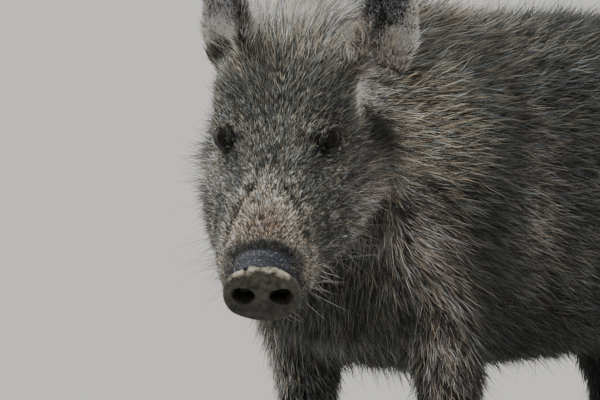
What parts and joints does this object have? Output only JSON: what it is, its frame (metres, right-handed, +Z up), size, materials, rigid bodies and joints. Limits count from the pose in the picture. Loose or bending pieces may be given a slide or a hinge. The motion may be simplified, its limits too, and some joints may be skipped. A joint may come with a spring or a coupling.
{
  "type": "wild boar",
  "caption": "Young wild boar standing still with its mouth shut and its head turned to its left; long tapering snout, upright ears, bristly coat, cloven hooves.",
  "frame": {"origin": "on the ground under the middle of the animal's bounding box", "axes": "+Z up, -Y the way the body faces, +X the animal's left"},
  "size_m": [0.3408, 1.1382, 0.7299],
  "materials": {
    "coat": "bristly grizzled fur, dark at the root and buff grey at the tip",
    "dark_coat": "short dark fur on legs, ears and tail",
    "snout": "bare, damp, finely wrinkled skin with dried earth on the rim",
    "eye": "wet, dark brown",
    "horn": "dark horn with fine growth lines"
  },
  "bodies": {
    "root": {"ear_left": "dark_coat", "ear_right": "dark_coat", "eye_left": "eye", "eye_right": "eye", "foreleg_left": "dark_coat", "foreleg_left_dewclaw_inner": "horn", "foreleg_left_dewclaw_outer": "horn", "foreleg_left_hoof_inner": "horn", "foreleg_left_hoof_outer": "horn", "foreleg_right": "dark_coat", "foreleg_right_dewclaw_inner": "horn", "foreleg_right_dewclaw_outer": "horn", "foreleg_right_hoof_inner": "horn", "foreleg_right_hoof_outer": "horn", "head": "coat", "hindleg_left": "dark_coat", "hindleg_left_dewclaw_inner": "horn", "hindleg_left_dewclaw_outer": "horn", "hindleg_left_hoof_inner": "horn", "hindleg_left_hoof_outer": "horn", "hindleg_right": "dark_coat", "hindleg_right_dewclaw_inner": "horn", "hindleg_right_dewclaw_outer": "horn", "hindleg_right_hoof_inner": "horn", "hindleg_right_hoof_outer": "horn", "lower_jaw": "coat", "neck": "coat", "snout_disc": "snout", "tail": "dark_coat", "trunk": "coat"}
  },
  "joints": []
}
